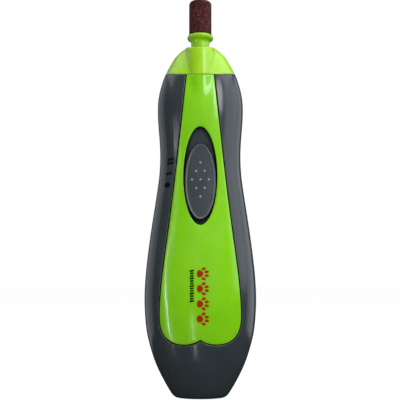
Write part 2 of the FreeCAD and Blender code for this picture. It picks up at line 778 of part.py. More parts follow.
def make_slide_button():
    proud = casing_form(-PAD_PROUD, 60, 108)
    dish = casing_form(-PAD_PROUD + PAD_RIM_H, 60, 108)
    pad = pad_oval(0.0, -30, RECESS_FLOOR_Y - PAD_CLEAR).common(proud)
    pad = pad.cut(pad_oval(PAD_RIM_W, -30, RECESS_FLOOR_Y).cut(dish))
    stem = box(-STEM_HALF_W, STEM_HALF_W, RECESS_FLOOR_Y - PAD_CLEAR - 0.2, -10.4, STEM_Z[0], STEM_Z[1])
    return fuse([pad, stem])


def pad_surface_y(x, z):
    low = -25.0
    high = -8.0
    for _ in range(40):
        middle = (low + high) / 2
        if form(x, middle, z, -PAD_PROUD + PAD_RIM_H) > 0:
            low = middle
        else:
            high = middle
    return low


def pad_normal(x, y, z):
    """Direction square to the pad's dished surface, pointing outwards."""
    step = 0.05
    inset = PAD_RIM_H - PAD_PROUD
    normal = V(form(x + step, y, z, inset) - form(x - step, y, z, inset),
               form(x, y + step, z, inset) - form(x, y - step, z, inset),
               form(x, y, z + step, inset) - form(x, y, z - step, inset))
    return normal.normalize()


def make_grip_nubs():
    """Round studs in a diamond, each ending flat on the pad."""
    nubs = []
    for row in range(-2, 3):
        count = 3 - abs(row)
        for i in range(count):
            x = (2 * i - count + 1) * NUB_PITCH_X
            z = NUB_Z + row * NUB_PITCH_Z
            y = pad_surface_y(x, z)
            normal = pad_normal(x, y, z)
            ball = Part.makeSphere(NUB_R, V(x, y - NUB_PROUD + NUB_R, z))
            outside = Part.makeBox(4, 4, 4, V(-2, -2, NUB_LIFT))
            outside.Placement = FreeCAD.Placement(V(x, y, z), FreeCAD.Rotation(Z_AXIS, normal))
            nubs.append(ball.common(outside))
    return Part.Compound(nubs)


def make_switch_carriage():
    top = STEM_Z[1] + 3.4
    plate = box(-4.4, 4.4, -11.6, -10.5, STEM_Z[0] - 3.4, top)
    return plate.cut(box(-STEM_HALF_W, STEM_HALF_W, -12, -10, STEM_Z[0], STEM_Z[1]))


def make_switch_wiper():
    fingers = []
    for x in (-3.0, 2.0):
        fingers.append(box(x, x + 1.0, -10.5, -10.15, STEM_Z[0] - 2.5, STEM_Z[1] + 2.5))
    bridge = box(-3.0, 3.0, -10.5, -10.3, STEM_Z[1] + 1.0, STEM_Z[1] + 2.5)
    return fuse(fingers + [bridge])


def make_detent_spring():
    z0 = BOARD_Z[0] + 2.9
    z1 = BOARD_Z[1] - 2.5
    leaf = box(5.15, 5.4, -11.4, -10.6, z0, z1)
    bump = cyl_y(0.5, -11.4, -10.6, 5.3, (z0 + z1) / 2).common(box(4.8, 5.3, -12, -10, z0, z1))
    return fuse([leaf, bump])


def make_switch_board():
    board = box(-BOARD_HALF_W, BOARD_HALF_W, BOARD_Y[0], BOARD_Y[1], BOARD_Z[0], BOARD_Z[1])
    return board.common(inner_room)


def make_board_contacts():
    pads = []
    for x in (-3.2, 1.8):
        for z in (77.5, 82.2, 86.9):
            pads.append(box(x, x + 1.4, BOARD_Y[0] - 0.1, BOARD_Y[0], z, z + 3.4))
    return Part.Compound(pads)


def make_speed_resistor():
    body = Part.makeCylinder(0.95, 5.0, V(-2.5, BOARD_Y[0] - 1.15, 73.6), X_AXIS)
    body = body.makeFillet(0.35, body.Edges[0:1] + body.Edges[2:3])
    legs = []
    for x in (-3.4, 3.4):
        inner = 2.5 * (1 if x > 0 else -1)
        legs.append(Part.makeCylinder(0.25, 1.1, V(min(x, inner), BOARD_Y[0] - 1.15, 73.6), X_AXIS))
        legs.append(cyl_y(0.25, BOARD_Y[0] - 1.15, BOARD_Y[0], x * 0.97, 73.6))
    return fuse([body] + legs)


LEADS = {
    "lead_battery_positive": [
        (CELL_X, CELL_Y, TRAY_TOP + 3.2), (CELL_X, CELL_Y, 78.0), (5.2, -3.5, 79.0),
        (5.2, BOARD_Y[1], 79.0),
    ],
    "lead_battery_negative": [
        (-CELL_X, CELL_Y, TRAY_TOP + 3.2), (-CELL_X, CELL_Y, 77.0), (-7.9, 0.0, 78.5),
        (-7.9, 0.0, END_CAP_Z - 3.2),
    ],
    "lead_motor": [
        (5.2, BOARD_Y[1], 74.5), (5.2, -5.0, 74.5), (7.9, 0.0, 77.0), (7.9, 0.0, END_CAP_Z - 3.2),
    ],
}


# ---- all nodes ----------------------------------------------------------------------------

def build():
    return {
        "front_shell": make_front_shell(),
        "rear_shell": make_rear_shell(),
        "front_panel": make_front_panel(),
        "nose_cap": make_nose_cap(),
        "guard_collar": make_guard_collar(),
        "nose_bush": make_nose_bush(),
        "battery_door": make_battery_door(),
        "door_foam_pad": make_foam_pad(),
        "shell_screws": make_shell_screws(),
        "chassis": make_chassis(),
        "motor_clamp": make_motor_clamp(),
        "clamp_screws": make_clamp_screws(),
        "motor_can": make_motor_can(),
        "motor_magnets": make_magnets(),
        "motor_end_cap": make_motor_end_cap(),
        "motor_brushes": make_brushes(),
        "motor_terminals": make_terminals(),
        "motor_bush": make_motor_bush(),
        "motor_shaft": cyl(SHAFT_R, SHAFT_Z[0], SHAFT_Z[1]),
        "armature_core": make_armature_core(),
        "armature_windings": make_windings(),
        "commutator": make_commutator(),
        "chuck_sleeve": make_chuck_sleeve(),
        "mandrel_shank": make_mandrel_shank(),
        "drum_core": make_drum_core(),
        "drum_washer": make_drum_washer(),
        "drum_screw": make_drum_screw(),
        "sanding_sleeve": make_sanding_sleeve(),
        "battery_right": cell(CELL_X, RIGHT_FLAT, 1),
        "battery_left": cell(-CELL_X, LEFT_FLAT, -1),
        "battery_wraps": make_battery_wraps(),
        "contact_plate_positive": make_contact_plate_positive(),
        "contact_spring_negative": make_contact_spring_negative(),
        "bridge_contact": make_bridge_contact(),
        "slide_button": make_slide_button(),
        "grip_nubs": make_grip_nubs(),
        "switch_carriage": make_switch_carriage(),
        "switch_wiper": make_switch_wiper(),
        "detent_spring": make_detent_spring(),
        "switch_board": make_switch_board(),
        "board_contacts": make_board_contacts(),
        "speed_resistor": make_speed_resistor(),
    }


os.makedirs("parts", exist_ok=True)
nodes = build()
for lead_name, lead_points in LEADS.items():
    nodes[lead_name] = round_wire(lead_points, LEAD_R)
for node_name, node_shape in nodes.items():
    size = node_shape.BoundBox
    print("%-26s %9.1f mm3 %d solids valid %s  z %.2f..%.2f" % (
        node_name, node_shape.Volume, len(node_shape.Solids), node_shape.isValid(), size.ZMin, size.ZMax))
    save(node_name, node_shape)
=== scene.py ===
import math

import bpy
import bmesh
from mathutils import Matrix, Vector, noise
from mathutils.bvhtree import BVHTree


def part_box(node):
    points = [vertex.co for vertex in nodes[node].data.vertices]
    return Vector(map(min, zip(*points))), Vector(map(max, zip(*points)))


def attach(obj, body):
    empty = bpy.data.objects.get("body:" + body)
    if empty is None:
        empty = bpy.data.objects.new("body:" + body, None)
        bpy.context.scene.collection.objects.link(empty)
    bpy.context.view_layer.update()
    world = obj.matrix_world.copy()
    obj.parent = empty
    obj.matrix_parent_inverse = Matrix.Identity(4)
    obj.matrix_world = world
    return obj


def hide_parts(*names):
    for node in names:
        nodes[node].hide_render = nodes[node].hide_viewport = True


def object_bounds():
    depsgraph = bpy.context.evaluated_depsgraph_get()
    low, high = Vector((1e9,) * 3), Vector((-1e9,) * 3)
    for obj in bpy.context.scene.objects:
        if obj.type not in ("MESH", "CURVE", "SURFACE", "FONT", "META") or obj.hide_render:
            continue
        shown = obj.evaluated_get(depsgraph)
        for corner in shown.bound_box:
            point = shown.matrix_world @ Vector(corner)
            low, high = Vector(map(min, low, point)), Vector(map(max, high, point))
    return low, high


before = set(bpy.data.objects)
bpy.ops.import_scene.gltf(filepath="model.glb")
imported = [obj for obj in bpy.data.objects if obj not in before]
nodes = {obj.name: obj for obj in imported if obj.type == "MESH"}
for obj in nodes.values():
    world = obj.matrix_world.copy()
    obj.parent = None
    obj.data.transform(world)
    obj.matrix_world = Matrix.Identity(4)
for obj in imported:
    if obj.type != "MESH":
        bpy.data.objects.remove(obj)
cad_low, cad_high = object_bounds()
MM = 0.001


# ---- stage: camera, lights, floor ---------------------------------------------------------

CAMERA_PLACE = (0.0, -308.3 * MM, 45.25 * MM)
CAMERA_TILT = 96.0           # degrees, 90 is level
CAMERA_LENS = 69.0           # mm
CAMERA_SENSOR = 36.0         # mm
CAMERA_SHIFT = -0.0008       # share of the sensor's width

BODY_MIDDLE = Vector((0.0, 0.0, 0.08))
STRIP_AIM = Vector((0.0, 0.0, 0.06))
WHITE = (1.0, 1.0, 1.0)
COOL = (0.88, 0.93, 1.0)

# name, azimuth, elevation, distance, size, watts, colour, and whether reflections show it
LAMPS = (
    ("key_right", 38, 32, 0.62, (0.20, 0.26), 1.2, WHITE, True),
    ("key_soft", 41, 36, 0.62, (0.30, 0.30), 1.3, WHITE, False),
    ("side_right", 80, 20, 0.62, (0.50, 0.44), 1.04, COOL, True),
    ("rear_right", 121, 8, 0.62, (0.42, 0.60), 0.76, COOL, True),
    ("side_left", -127, 8, 0.62, (0.50, 0.64), 0.52, COOL, True),
    ("top", 90, 66, 0.60, (0.50, 0.60), 1.9, WHITE, True),
    ("top_left", -100, 56, 0.60, (0.40, 0.40), 0.7, WHITE, True),
    ("front_fill", 4, 18, 0.85, (0.8, 0.7), 3.4, WHITE, False),
    ("rear_fill", 178, 34, 0.80, (0.7, 0.6), 2.2, WHITE, False),
)

# name, start, end, width, watts: they draw the thin bright lines on the panel and the foot
STRIPS = (
    ("strip_left_low", (-0.350, -0.278, -0.220), (-0.440, -0.256, 0.0), 0.010, 0.26),
    ("strip_left", (-0.440, -0.256, 0.0), (-0.466, -0.206, 0.165), 0.010, 0.22),
    ("strip_left_top", (-0.466, -0.206, 0.165), (-0.355, -0.349, 0.211), 0.004, 0.05),
    ("strip_front_low", (-0.094, -0.500, -0.066), (-0.048, -0.413, -0.284), 0.010, 0.10),
)

WORLD_FILL = 0.30            # strength of the room's light on the surfaces
WORLD_SHEEN = 0.05           # strength of the room in reflections
WORLD_SEEN = 1.02            # strength of the white backdrop
WORLD_LOW = (0.10, 0.11, 0.12, 1.0)
WORLD_HIGH = (0.95, 0.98, 1.0, 1.0)

FLOOR_RADIUS = 6.0
FLOOR_SIDES = 96
FLOOR_DROP = 0.05 * MM       # the floor lies this far below the base
FLOOR_TONE = (0.12, 0.12, 0.12, 1.0)
FLOOR_GLOW = 0.12            # light it gives the object
FLOOR_SEEN = 0.95            # light it gives the camera


def make_camera():
    """A tele view from slightly below the middle of the body, tipped up a little."""
    data = bpy.data.cameras.new("camera")
    data.sensor_width = CAMERA_SENSOR
    data.lens = CAMERA_LENS
    data.shift_x = CAMERA_SHIFT
    camera = bpy.data.objects.new("camera", data)
    camera.location = CAMERA_PLACE
    camera.rotation_euler = (math.radians(CAMERA_TILT), 0.0, 0.0)
    bpy.context.scene.collection.objects.link(camera)
    bpy.context.scene.camera = camera


def area_light(name, place, aim, size, power, colour):
    data = bpy.data.lights.new(name, "AREA")
    data.shape = "RECTANGLE"
    data.size, data.size_y = size
    data.energy = power
    data.color = colour
    light = bpy.data.objects.new(name, data)
    light.location = place
    way = aim - place
    light.rotation_euler = way.to_track_quat("-Z", "Y").to_euler()
    light.visible_camera = False
    bpy.context.scene.collection.objects.link(light)
    return light


def strip_light(name, start, end, width, power):
    """A narrow lamp from start to end, turned towards the body."""
    start, end = Vector(start), Vector(end)
    middle = (start + end) / 2
    along = (end - start).normalized()
    face = STRIP_AIM - middle
    face = (face - along * face.dot(along)).normalized()
    light = area_light(name, middle, STRIP_AIM, (width, (end - start).length), power, WHITE)
    across = along.cross(-face)
    light.rotation_euler = Matrix((across, along, -face)).transposed().to_euler()


def around(azimuth, elevation, distance):
    """A place seen from the body's middle: azimuth 0 is in front, 90 to its right."""
    a, e = math.radians(azimuth), math.radians(elevation)
    way = Vector((math.sin(a) * math.cos(e), -math.cos(a) * math.cos(e), math.sin(e)))
    return BODY_MIDDLE + distance * way


def make_lights():
    for name, azimuth, elevation, distance, size, power, colour, in_reflections in LAMPS:
        place = around(azimuth, elevation, distance)
        light = area_light(name, place, BODY_MIDDLE, size, power, colour)
        light.visible_glossy = in_reflections
    for strip in STRIPS:
        strip_light(*strip)


def make_world():
    """White to the camera, and a soft room, light above and dark below, to everything else."""
    world = bpy.data.worlds.new("studio")
    world.use_nodes = True
    tree = world.node_tree
    tree.nodes.clear()
    out = tree.nodes.new("ShaderNodeOutputWorld")
    mix = tree.nodes.new("ShaderNodeMixShader")
    path = tree.nodes.new("ShaderNodeLightPath")
    level = tree.nodes.new("ShaderNodeMapRange")
    level.inputs["To Min"].default_value = WORLD_FILL
    level.inputs["To Max"].default_value = WORLD_SHEEN
    seen = tree.nodes.new("ShaderNodeBackground")
    seen.inputs["Color"].default_value = (1.0, 1.0, 1.0, 1.0)
    seen.inputs["Strength"].default_value = WORLD_SEEN
    fill = tree.nodes.new("ShaderNodeBackground")
    tree.links.new(path.outputs["Is Glossy Ray"], level.inputs["Value"])
    tree.links.new(level.outputs[0], fill.inputs["Strength"])
    coord = tree.nodes.new("ShaderNodeTexCoord")
    split = tree.nodes.new("ShaderNodeSeparateXYZ")
    ramp = tree.nodes.new("ShaderNodeValToRGB")
    shift = tree.nodes.new("ShaderNodeMapRange")
    shift.inputs["From Min"].default_value = -1.0
    shift.inputs["From Max"].default_value = 1.0
    ramp.color_ramp.elements[0].position = 0.25
    ramp.color_ramp.elements[0].color = WORLD_LOW
    ramp.color_ramp.elements[1].position = 0.75
    ramp.color_ramp.elements[1].color = WORLD_HIGH
    tree.links.new(coord.outputs["Generated"], split.inputs[0])
    tree.links.new(split.outputs["Z"], shift.inputs["Value"])
    tree.links.new(shift.outputs[0], ramp.inputs[0])
    tree.links.new(ramp.outputs["Color"], fill.inputs["Color"])
    tree.links.new(path.outputs["Is Camera Ray"], mix.inputs[0])
    tree.links.new(fill.outputs[0], mix.inputs[1])
    tree.links.new(seen.outputs[0], mix.inputs[2])
    tree.links.new(mix.outputs[0], out.inputs[0])
    bpy.context.scene.world = world


def make_floor():
    """A plain pale floor."""
    mesh = bpy.data.meshes.new("floor")
    grid = bmesh.new()
    bmesh.ops.create_circle(grid, cap_ends=True, radius=FLOOR_RADIUS, segments=FLOOR_SIDES)
    grid.to_mesh(mesh)
    grid.free()
    floor = bpy.data.objects.new("floor", mesh)
    floor.location = (0.0, 0.0, -FLOOR_DROP)
    floor.visible_glossy = False
    floor.visible_shadow = False
    bpy.context.scene.collection.objects.link(floor)
    material = bpy.data.materials.new("floor_white")
    material.use_nodes = True
    tree = material.node_tree
    tree.nodes.clear()
    out = tree.nodes.new("ShaderNodeOutputMaterial")
    add = tree.nodes.new("ShaderNodeAddShader")
    diffuse = tree.nodes.new("ShaderNodeBsdfDiffuse")
    diffuse.inputs["Color"].default_value = FLOOR_TONE
    glow = tree.nodes.new("ShaderNodeEmission")
    path = tree.nodes.new("ShaderNodeLightPath")
    level = tree.nodes.new("ShaderNodeMapRange")
    level.inputs["To Min"].default_value = FLOOR_GLOW
    level.inputs["To Max"].default_value = FLOOR_SEEN
    tree.links.new(path.outputs["Is Camera Ray"], level.inputs["Value"])
    tree.links.new(level.outputs[0], glow.inputs["Strength"])
    tree.links.new(diffuse.outputs[0], add.inputs[0])
    tree.links.new(glow.outputs[0], add.inputs[1])
    tree.links.new(add.outputs[0], out.inputs[0])
    mesh.materials.append(material)


# ---- materials ----------------------------------------------------------------------------

EVEN = (1.0, 1.0, 1.0)       # a pattern of one size every way
PLASTIC_IOR = 1.5
EDGE_SAMPLES = 4
CREVICE_SAMPLES = 6
GLOW_RADIUS = (1.0, 1.0, 0.35)
GLOW_SCALE = 1.2 * MM
# a pale grey painted along the slider's rims as a highlight
RIM_HIGHLIGHT_GREY = (0.34, 0.36, 0.37, 1.0)


def srgb(r, g, b):
    """A linear colour from screen values of 0 to 255."""
    def lin(v):
        v /= 255.0
        return v / 12.92 if v <= 0.04045 else ((v + 0.055) / 1.055) ** 2.4
    return lin(r), lin(g), lin(b), 1.0


def dimmed(colour, share):
    return tuple(c * share for c in colour[:3]) + (1.0,)


def worn_and_lit_edge_tone(colour):
    """The paler tone of an edge: partly wear, partly a painted highlight."""
    return tuple(min(c * 1.9 + 0.10, 1.0) for c in colour[:3]) + (1.0,)


class Paint:
    """One material's nodes. Sizes are in mm, and the patterns are fixed to the piece."""

    def __init__(self, name, metallic=0.0, coat=0.0, coat_roughness=0.1):
        self.material = bpy.data.materials.new(name)
        self.material.use_nodes = True
        self.tree = self.material.node_tree
        self.shader = self.tree.nodes["Principled BSDF"]
        self.shader.inputs["Metallic"].default_value = metallic
        self.shader.inputs["IOR"].default_value = PLASTIC_IOR
        self.shader.inputs["Coat Weight"].default_value = coat
        self.shader.inputs["Coat Roughness"].default_value = coat_roughness
        coord = self.tree.nodes.new("ShaderNodeTexCoord")
        scale = self.tree.nodes.new("ShaderNodeVectorMath")
        scale.operation = "SCALE"
        scale.inputs["Scale"].default_value = 1.0 / MM
        self.tree.links.new(coord.outputs["Object"], scale.inputs[0])
        self.place = scale.outputs[0]

    def stretched(self, stretch):
        """The place on the piece, with each axis multiplied: under 1 draws the pattern out along it."""
        if stretch == EVEN:
            return self.place
        node = self.tree.nodes.new("ShaderNodeVectorMath")
        node.operation = "MULTIPLY"
        node.inputs[1].default_value = stretch
        self.tree.links.new(self.place, node.inputs[0])
        return node.outputs[0]

    def noise(self, size, detail=3.0, rough=0.55, stretch=EVEN, warp=0.0):
        """Soft noise with patches of about the size, in mm."""
        node = self.tree.nodes.new("ShaderNodeTexNoise")
        node.inputs["Scale"].default_value = 1.0 / size
        node.inputs["Detail"].default_value = detail
        node.inputs["Roughness"].default_value = rough
        node.inputs["Distortion"].default_value = warp
        self.tree.links.new(self.stretched(stretch), node.inputs["Vector"])
        return node.outputs["Fac"]

    def grains(self, size, output="Distance"):
        """Cells of about the size, in mm: the distance from each middle, or a colour for each."""
        node = self.tree.nodes.new("ShaderNodeTexVoronoi")
        node.inputs["Scale"].default_value = 1.0 / size
        self.tree.links.new(self.place, node.inputs["Vector"])
        return node.outputs[output]

    def height(self):
        """The height on the piece, in mm."""
        node = self.tree.nodes.new("ShaderNodeSeparateXYZ")
        self.tree.links.new(self.place, node.inputs[0])
        return node.outputs["Z"]

    def bands(self, scale, wobble=0.0):
        """Waves up the piece, between 0 and 1."""
        node = self.tree.nodes.new("ShaderNodeTexWave")
        node.bands_direction = "Z"
        node.inputs["Scale"].default_value = scale
        node.inputs["Distortion"].default_value = wobble
        self.tree.links.new(self.place, node.inputs["Vector"])
        return node.outputs["Fac"]

    def maths(self, operation, *values):
        node = self.tree.nodes.new("ShaderNodeMath")
        node.operation = operation
        for socket, value in zip(node.inputs, values):
            if isinstance(value, (int, float)):
                socket.default_value = value
            else:
                self.tree.links.new(value, socket)
        return node.outputs[0]

    def remap(self, value, low, high, to_low=0.0, to_high=1.0):
        node = self.tree.nodes.new("ShaderNodeMapRange")
        node.inputs["From Min"].default_value = low
        node.inputs["From Max"].default_value = high
        node.inputs["To Min"].default_value = to_low
        node.inputs["To Max"].default_value = to_high
        self.tree.links.new(value, node.inputs["Value"])
        return node.outputs[0]

    def mix(self, amount, a, b):
        """Colour a where the amount is 0, and b where it is 1."""
        node = self.tree.nodes.new("ShaderNodeMix")
        node.data_type = "RGBA"
        self.tree.links.new(amount, node.inputs[0])
        for socket, value in ((node.inputs[6], a), (node.inputs[7], b)):
            if isinstance(value, tuple):
                socket.default_value = value
            else:
                self.tree.links.new(value, socket)
        return node.outputs[2]

    def edges(self, radius):
        """How near a sharp edge lies, 1 on it and 0 off it, and the normal of the edge as if rounded."""
        soft = self.tree.nodes.new("ShaderNodeBevel")
        soft.samples = EDGE_SAMPLES
        soft.inputs["Radius"].default_value = radius * MM
        flat = self.tree.nodes.new("ShaderNodeNewGeometry")
        dot = self.tree.nodes.new("ShaderNodeVectorMath")
        dot.operation = "DOT_PRODUCT"
        self.tree.links.new(soft.outputs[0], dot.inputs[0])
        self.tree.links.new(flat.outputs["Normal"], dot.inputs[1])
        return self.remap(dot.outputs["Value"], 0.995, 0.90), soft.outputs[0]

    def crevice_shade(self, reach):
        """Painted shade: 1 down in the grooves and parting lines, where less light reaches, 0 in the open."""
        node = self.tree.nodes.new("ShaderNodeAmbientOcclusion")
        node.samples = CREVICE_SAMPLES
        node.inputs["Distance"].default_value = reach * MM
        return self.remap(node.outputs["AO"], 0.92, 0.55)

    def bump(self, height, depth, under=None):
        """A normal for a relief of the depth, in mm, on top of the normal under it."""
        node = self.tree.nodes.new("ShaderNodeBump")
        node.inputs["Distance"].default_value = depth * MM
        node.inputs["Strength"].default_value = 1.0
        self.tree.links.new(height, node.inputs["Height"])
        if under is not None:
            self.tree.links.new(under, node.inputs["Normal"])
        return node.outputs[0]

    def finish(self, colour, roughness, normal):
        self.tree.links.new(colour, self.shader.inputs["Base Color"])
        self.tree.links.new(roughness, self.shader.inputs["Roughness"])
        self.tree.links.new(normal, self.shader.inputs["Normal"])
        return self.material


def plastic(name, colour, lighter, rough, grain_depth=0.0015, ripple=0.004,
            round_edge=0.0, glow=0.0, crevice=0.0):
    """Moulded plastic: faint mottling, smudges, hairline scratches, pale edges that are partly wear and
    partly a painted highlight, and painted shade down in the grooves.

    round_edge and crevice are how far the pale edge and the painted shade in the grooves reach, in mm.
    """
    paint = Paint(name)
    if glow:
        paint.shader.inputs["Subsurface Weight"].default_value = glow
        paint.shader.inputs["Subsurface Radius"].default_value = GLOW_RADIUS
        paint.shader.inputs["Subsurface Scale"].default_value = GLOW_SCALE
    mottle = paint.remap(paint.noise(9.0, 4.0, 0.6), 0.3, 0.7)
    tone = paint.mix(mottle, colour, lighter)
    smudge = paint.remap(paint.noise(7.0, 5.0, 0.65, (1.0, 1.0, 0.45), 0.8), 0.40, 0.70)
    scratch = paint.remap(paint.noise(1.1, 2.0, 0.5, (1.0, 1.0, 0.05), 0.6), 0.69, 0.75)
    roughness = paint.maths("MULTIPLY_ADD", smudge, 0.10, rough)
    roughness = paint.maths("ADD", roughness, paint.maths("MULTIPLY", scratch, 0.10))
    normal = None
    if round_edge:
        # Partly wear, partly a painted highlight: the colour pales along the rounded edges where they catch
        # the light.
        edge, normal = paint.edges(round_edge)
        wear_and_highlight = paint.remap(paint.noise(2.5, 4.0), 0.35, 0.75, 0.30, 0.70)
        tone = paint.mix(paint.maths("MULTIPLY", edge, wear_and_highlight), tone, worn_and_lit_edge_tone(lighter))
    if crevice:
        # Painted shade: the colour darkens to near black down in the grooves and the gaps between parts,
        # where less light reaches.
        patchy = paint.remap(paint.noise(1.8, 3.0), 0.3, 0.7, 0.80, 1.0)
        painted_groove_shade = paint.maths("MULTIPLY", paint.crevice_shade(crevice), patchy)
        tone = paint.mix(painted_groove_shade, tone, dimmed(colour, 0.08))
    normal = paint.bump(paint.noise(3.2, 2.0, 0.5), ripple, normal)
    normal = paint.bump(paint.noise(0.16, 2.0, 0.6), grain_depth, normal)
    normal = paint.bump(scratch, -0.0012, normal)
    return paint.finish(tone, roughness, normal)


def leathered(name, colour, lighter, rough, cell, depth, round_edge):
    """Spark-eroded plastic: a fine, even, pebbled skin, polished where a thumb runs."""
    paint = Paint(name)
    mottle = paint.remap(paint.noise(4.0, 4.0, 0.6), 0.3, 0.7)
    tone = paint.mix(mottle, colour, lighter)
    pebble = paint.grains(cell)
    tone = paint.mix(paint.remap(pebble, 0.55, 0.9, 0.0, 0.45), tone, dimmed(colour, 0.6))
    edge, normal = paint.edges(round_edge)
    # Painted highlight: a pale grey rim along the edges, where they catch the light.
    tone = paint.mix(paint.maths("MULTIPLY", edge, 0.8), tone, RIM_HIGHLIGHT_GREY)
    polish = paint.remap(paint.noise(6.0, 3.0), 0.35, 0.65, rough - 0.07, rough + 0.07)
    normal = paint.bump(pebble, -depth, normal)
    return paint.finish(tone, polish, normal)


def metal(name, colour, darker, rough, brush=(1.0, 1.0, 0.06), brush_size=0.3, depth=0.002):
    """Drawn or turned metal: brushed lines, a few stains and uneven lustre."""
    paint = Paint(name, metallic=1.0)
    lines = paint.noise(brush_size, 3.0, 0.6, brush)
    stain = paint.remap(paint.noise(3.0, 5.0, 0.65), 0.45, 0.75)
    tone = paint.mix(paint.remap(lines, 0.3, 0.7, 0.0, 0.6), colour, darker)
    tone = paint.mix(paint.maths("MULTIPLY", stain, 0.35), tone, dimmed(darker, 0.55))
    roughness = paint.maths("ADD", paint.remap(lines, 0.3, 0.7, rough - 0.05, rough + 0.08),
                            paint.maths("MULTIPLY", stain, 0.12))
    return paint.finish(tone, roughness, paint.bump(lines, depth))


def banded(name, stops, roughness, coat=0.0):
    """Colours in bands up the piece, each given as (height in mm, colour) from the low end up."""
    paint = Paint(name, coat=coat)
    place = paint.height()
    wander = paint.remap(paint.noise(1.5, 3.0), 0.0, 1.0, -0.06, 0.06)
    place = paint.maths("ADD", place, wander)
    mottle = paint.remap(paint.noise(5.0, 4.0), 0.3, 0.7, 0.0, 0.25)
    tone = stops[0][1]
    for start, colour in stops[1:]:
        step = paint.remap(place, start - 0.02, start + 0.02)
        tone = paint.mix(step, tone, colour)
    tone = paint.mix(mottle, tone, (0.02, 0.02, 0.02, 1.0))
    wrinkle = paint.noise(2.2, 3.0, 0.5, (1.0, 1.0, 0.2))
    rough = paint.remap(paint.noise(3.0, 4.0), 0.3, 0.7, roughness - 0.05, roughness + 0.1)
    return paint.finish(tone, rough, paint.bump(wrinkle, 0.012))


def abrasive():
    """Red-brown grit in dark resin: bright crystals, dark pits and a dusty bloom."""
    paint = Paint("abrasive_brown")
    paint.shader.inputs["Specular IOR Level"].default_value = 0.12
    patches = paint.remap(paint.noise(1.6, 5.0, 0.7), 0.3, 0.7)
    base = paint.mix(patches, srgb(50, 19, 21), srgb(76, 33, 34))
    specks = paint.grains(0.30, output="Color")
    split = paint.tree.nodes.new("ShaderNodeSeparateColor")
    paint.tree.links.new(specks, split.inputs[0])
    weave = paint.remap(paint.noise(0.55, 3.0, 0.6, (0.28, 0.28, 1.5)), 0.42, 0.68, 0.0, 0.75)
    base = paint.mix(weave, base, srgb(36, 13, 15))
    light = paint.remap(split.outputs[0], 0.80, 0.92, 0.0, 0.75)
    dark = paint.remap(split.outputs[1], 0.78, 0.90, 0.0, 0.80)
    tone = paint.mix(light, base, srgb(118, 66, 64))
    tone = paint.mix(dark, tone, srgb(30, 14, 14))
    rough = paint.remap(split.outputs[2], 0.0, 1.0, 0.55, 0.95)
    normal = paint.bump(paint.grains(0.26), -0.06)
    return paint.finish(tone, rough, paint.bump(paint.noise(0.12, 3.0, 0.7), 0.02, normal))


def rubber():
    """Black rubber with abrasive dust on it."""
    paint = Paint("rubber_black")
    tone = paint.mix(paint.remap(paint.noise(2.5, 5.0), 0.35, 0.7), srgb(24, 24, 25), srgb(48, 46, 45))
    dust = paint.remap(paint.noise(0.7, 4.0, 0.7), 0.6, 0.8, 0.0, 0.3)
    tone = paint.mix(dust, tone, srgb(110, 84, 74))
    rough = paint.remap(paint.noise(1.5, 3.0), 0.3, 0.7, 0.6, 0.85)
    return paint.finish(tone, rough, paint.bump(paint.noise(0.25, 4.0), 0.02))


def foam():
    """Grey foam with open pores."""
    paint = Paint("foam")
    pores = paint.grains(0.55)
    tone = paint.mix(paint.remap(pores, 0.25, 0.6), srgb(72, 74, 76), srgb(30, 31, 33))
    rough = paint.remap(pores, 0.0, 0.7, 0.85, 1.0)
    return paint.finish(tone, rough, paint.bump(pores, -0.22))


def windings():
    """Lacquered copper wire wound round each pole."""
    paint = Paint("copper_windings", metallic=0.85, coat=0.6)
    turns = paint.bands(0.95, 0.6)
    tone = paint.mix(turns, srgb(96, 38, 18), srgb(196, 104, 58))
    rough = paint.remap(paint.noise(1.2, 3.0), 0.3, 0.7, 0.22, 0.38)
    return paint.finish(tone, rough, paint.bump(turns, 0.08))


def laminations():
    """Stacked steel stampings: fine lines every half millimetre, with a blue-grey scale."""
    paint = Paint("lamination", metallic=0.9)
    line = paint.remap(paint.bands(0.62), 0.0, 0.25)
    tone = paint.mix(line, srgb(48, 50, 55), srgb(128, 132, 140))
    rough = paint.remap(paint.noise(1.2, 4.0), 0.3, 0.7, 0.35, 0.55)
    return paint.finish(tone, rough, paint.bump(line, 0.04))


def ferrite():
    """Dull, dark, slightly gritty magnet."""
    paint = Paint("ferrite")
    tone = paint.mix(paint.remap(paint.noise(0.5, 5.0, 0.7), 0.3, 0.7), srgb(38, 38, 42), srgb(72, 72, 76))
    rough = paint.remap(paint.noise(0.8, 4.0), 0.3, 0.7, 0.55, 0.8)
    return paint.finish(tone, rough, paint.bump(paint.noise(0.2, 4.0), 0.02))


def board_fibre():
    """Brown paper laminate with a faint weave."""
    paint = Paint("board_fibre")
    weave = paint.noise(0.35, 2.0, 0.5, (1.0, 1.0, 0.12))
    cross = paint.noise(0.35, 2.0, 0.5, (0.12, 1.0, 1.0))
    threads = paint.maths("ADD", weave, cross)
    tone = paint.mix(paint.remap(threads, 0.8, 1.2), srgb(120, 82, 44), srgb(156, 112, 64))
    rough = paint.remap(paint.noise(2.0, 3.0), 0.3, 0.7, 0.4, 0.6)
    return paint.finish(tone, rough, paint.bump(threads, 0.01))


def lead(name, colour, lighter):
    """The vinyl sleeve of a wire."""
    paint = Paint(name, coat=0.3, coat_roughness=0.25)
    tone = paint.mix(paint.remap(paint.noise(1.2, 4.0), 0.3, 0.7), colour, lighter)
    rough = paint.remap(paint.noise(0.8, 3.0), 0.3, 0.7, 0.32, 0.5)
    return paint.finish(tone, rough, paint.bump(paint.noise(0.5, 3.0), 0.01))


